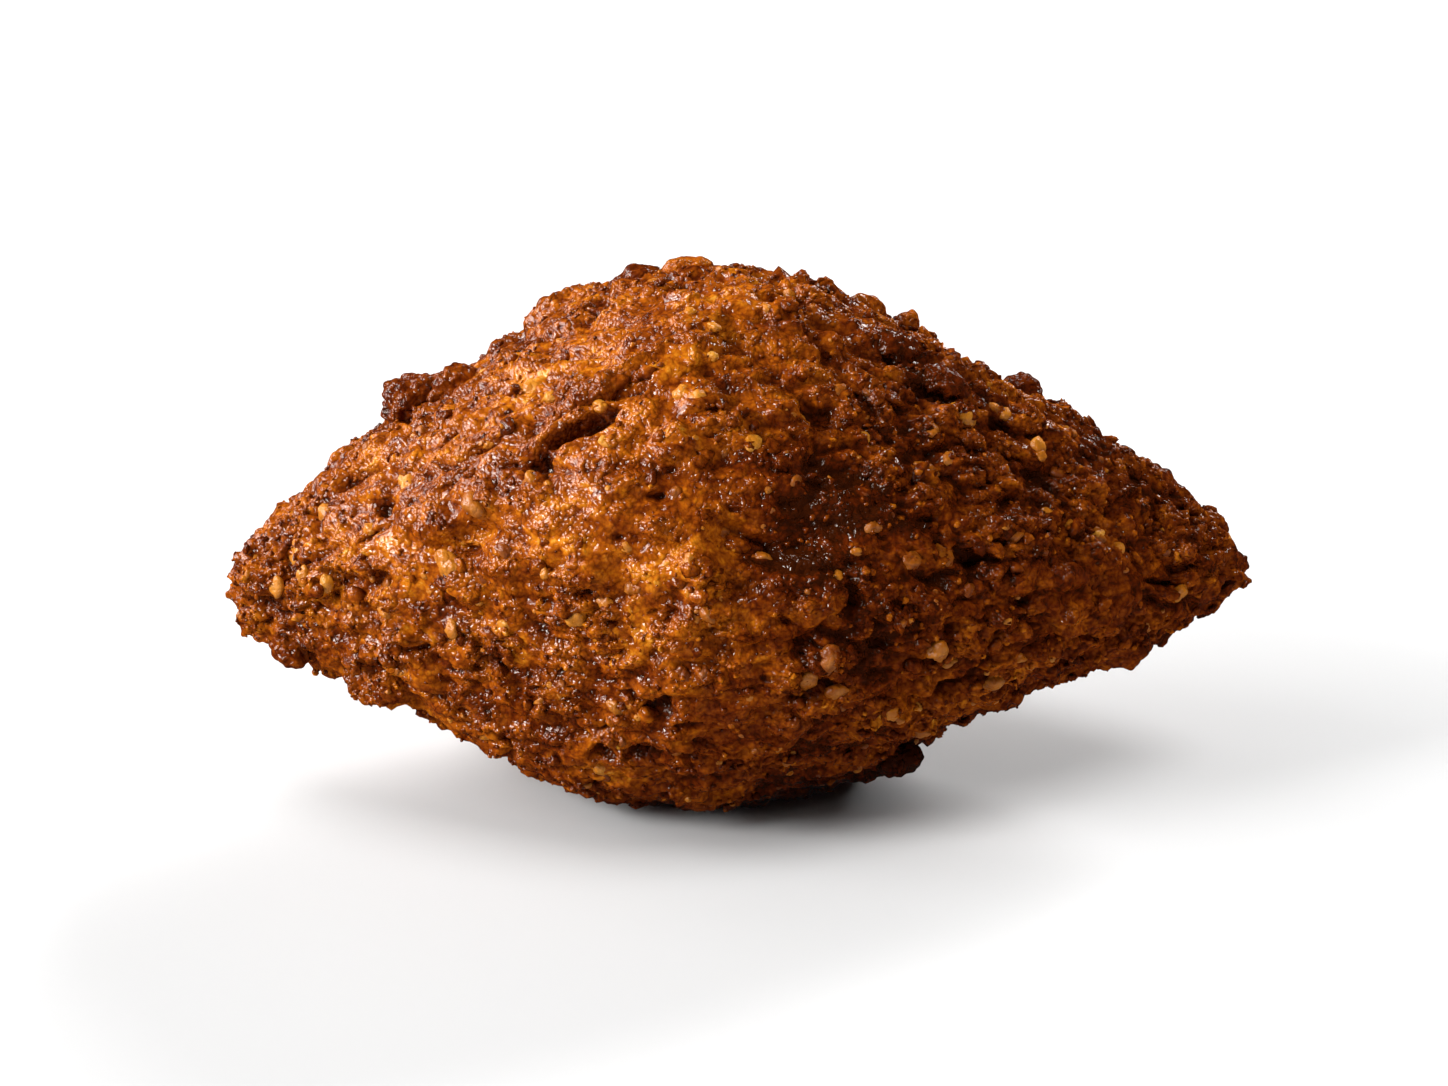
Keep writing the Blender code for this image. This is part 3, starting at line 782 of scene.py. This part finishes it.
def crust_material(name, spread, gloss):
    """Fried crust. spread: how much the tone varies within it. gloss: its lowest and highest roughness."""
    made = Shading(name)
    made.warp(size=1.2 * MM, reach=0.25 * MM)
    coarse = made.domes(size=0.85 * MM)
    fine = made.domes(size=0.36 * MM)
    relief = made.sum(made.scaled(fine, 0.5), made.scaled(coarse, 0.5))
    mottled = made.noise(size=0.6 * MM, detail=3, roughness=0.65)
    tone = made.sum(made.value("tone"), made.scaled(mottled, spread, -spread / 2))
    # Painted light and shade on the finest bumps
    tone = made.sum(tone, made.scaled(relief, RELIEF_LIGHT_AND_SHADE, -RELIEF_LIGHT_AND_SHADE * MEAN_RELIEF))
    made.link(made.ramp(tone, CRUST_TONES), made.shader.inputs["Base Color"])
    oily = made.noise(size=1.6 * MM)
    made.link(made.range(oily, 0.35, 0.65, *gloss), made.shader.inputs["Roughness"])
    bumpy = made.range(made.noise(size=2.2 * MM), 0.4, 0.6, 0.35, 1.15)
    made.bump(made.product(relief, bumpy), distance=0.36 * MM)
    made.shader.inputs["Specular IOR Level"].default_value = 0.4
    made.shader.inputs["Specular Tint"].default_value = (1, 0.97, 0.92, 1)
    return made.material


def grain_material(name):
    """Bulgur: amber to pale, with a fine uneven surface."""
    made = Shading(name)
    mottled = made.noise(size=0.9 * MM)
    tone = made.sum(made.value("tone"), made.scaled(mottled, GRAIN_SPREAD, -GRAIN_SPREAD / 2))
    made.link(made.ramp(tone, GRAIN_TONES), made.shader.inputs["Base Color"])
    made.link(made.range(mottled, 0.3, 0.7, *GRAIN_GLOSS), made.shader.inputs["Roughness"])
    lumps = made.sum(made.domes(size=0.5 * MM), made.scaled(made.noise(size=0.3 * MM), 0.8))
    made.bump(lumps, distance=0.12 * MM)
    made.shader.inputs["Specular IOR Level"].default_value = 0.5
    return made.material


# Soft lights without falloff. Azimuth 0 is straight in front, and 90 to the right. Angles are in degrees, and
# softness is the angle that the light seems to fill.
Sun = namedtuple("Sun", "name azimuth height strength softness glossy")
SUNS = (
    Sun("glint", -66, 28, 2.2, 18, True),
    Sun("left_front", -60, 24, 0.85, 30, True),
    Sun("left", -90, 26, 2.35, 30, True),
    Sun("left_rear", -120, 28, 1.1, 30, True),
    Sun("rear_left", -150, 22, 0.4, 30, False),
    Sun("rear_right", 150, 22, 4.3, 30, False),
    Sun("rim_glint", 150, 30, 0.55, 14, True),
    Sun("overhead", 60, 68, 1.55, 30, False),
)
WORLD_STRENGTH = 0.02
FLOOR_HALF = 3.0
FLOOR_COLOUR = (0.635, 0.635, 0.635, 1)
LENS = 100
SENSOR = 36
CLIP_START = 0.01
CAMERA_HEIGHT = 20  # degrees above the horizontal
CAMERA_DISTANCE = 316 * MM
CAMERA_AIM = Vector((-1.2 * MM, 0, 20.2 * MM))
AIM_DROP = 1.0 * MM


def add_lights():
    for sun in SUNS:
        data = bpy.data.lights.new(sun.name, "SUN")
        data.energy = sun.strength
        data.angle = math.radians(sun.softness)
        light = link_object(sun.name, data)
        turn = math.radians(sun.azimuth)
        rise = math.radians(sun.height)
        towards = Vector((math.sin(turn) * math.cos(rise), -math.cos(turn) * math.cos(rise), math.sin(rise)))
        light.rotation_euler = towards.to_track_quat("Z", "Y").to_euler()
        light.visible_glossy = sun.glossy
    world = bpy.data.worlds.new("studio")
    world.use_nodes = True
    background = world.node_tree.nodes["Background"]
    background.inputs["Color"].default_value = (1, 1, 1, 1)
    background.inputs["Strength"].default_value = WORLD_STRENGTH
    bpy.context.scene.world = world


def add_floor():
    shape = bmesh.new()
    bmesh.ops.create_grid(shape, x_segments=1, y_segments=1, size=FLOOR_HALF)
    mesh = bpy.data.meshes.new("floor")
    shape.to_mesh(mesh)
    shape.free()
    floor = link_object("floor", mesh)
    paint = bpy.data.materials.new("white sweep")
    paint.use_nodes = True
    shader = paint.node_tree.nodes["Principled BSDF"]
    shader.inputs["Base Color"].default_value = FLOOR_COLOUR
    shader.inputs["Roughness"].default_value = 0.9
    shader.inputs["Specular IOR Level"].default_value = 0.1
    mesh.materials.append(paint)
    floor.visible_glossy = False  # the overexposed floor would dull the dark, oily underside


def add_camera():
    """Straight in front, its aim a little low and left."""
    tilt = math.radians(CAMERA_HEIGHT)
    forward = Vector((0, math.cos(tilt), -math.sin(tilt)))
    upward = Vector((0, math.sin(tilt), math.cos(tilt)))
    data = bpy.data.cameras.new("camera")
    data.lens = LENS
    data.sensor_width = SENSOR
    data.clip_start = CLIP_START
    camera = link_object("camera", data)
    camera.location = CAMERA_AIM - upward * AIM_DROP - forward * CAMERA_DISTANCE
    camera.rotation_euler = forward.to_track_quat("-Z", "Y").to_euler()
    bpy.context.scene.camera = camera


def main():
    crust = measure_crust()
    fried = crust_material("fried_crust", CRUST_SPREAD, CRUST_GLOSS)
    torn = crust_material("torn_crumbs", CRUMB_SPREAD, CRUMB_GLOSS)
    surface = make_crust(crust)
    pieces = (
        (surface, fried),
        (make_large_crumbs(crust), torn),
        (make_scattered("crumbs", crust, CRUMB_KIND), torn),
        (make_scattered("bits", crust, BIT_KIND), torn),
        (make_grains(crust), grain_material("bulgur")),
    )
    for piece, material in pieces:
        piece.data.materials.append(material)
        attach(piece, "root")
    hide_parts("kibbeh")
    add_floor()
    add_lights()
    add_camera()
    bpy.context.scene.view_settings.view_transform = "Standard"


main()
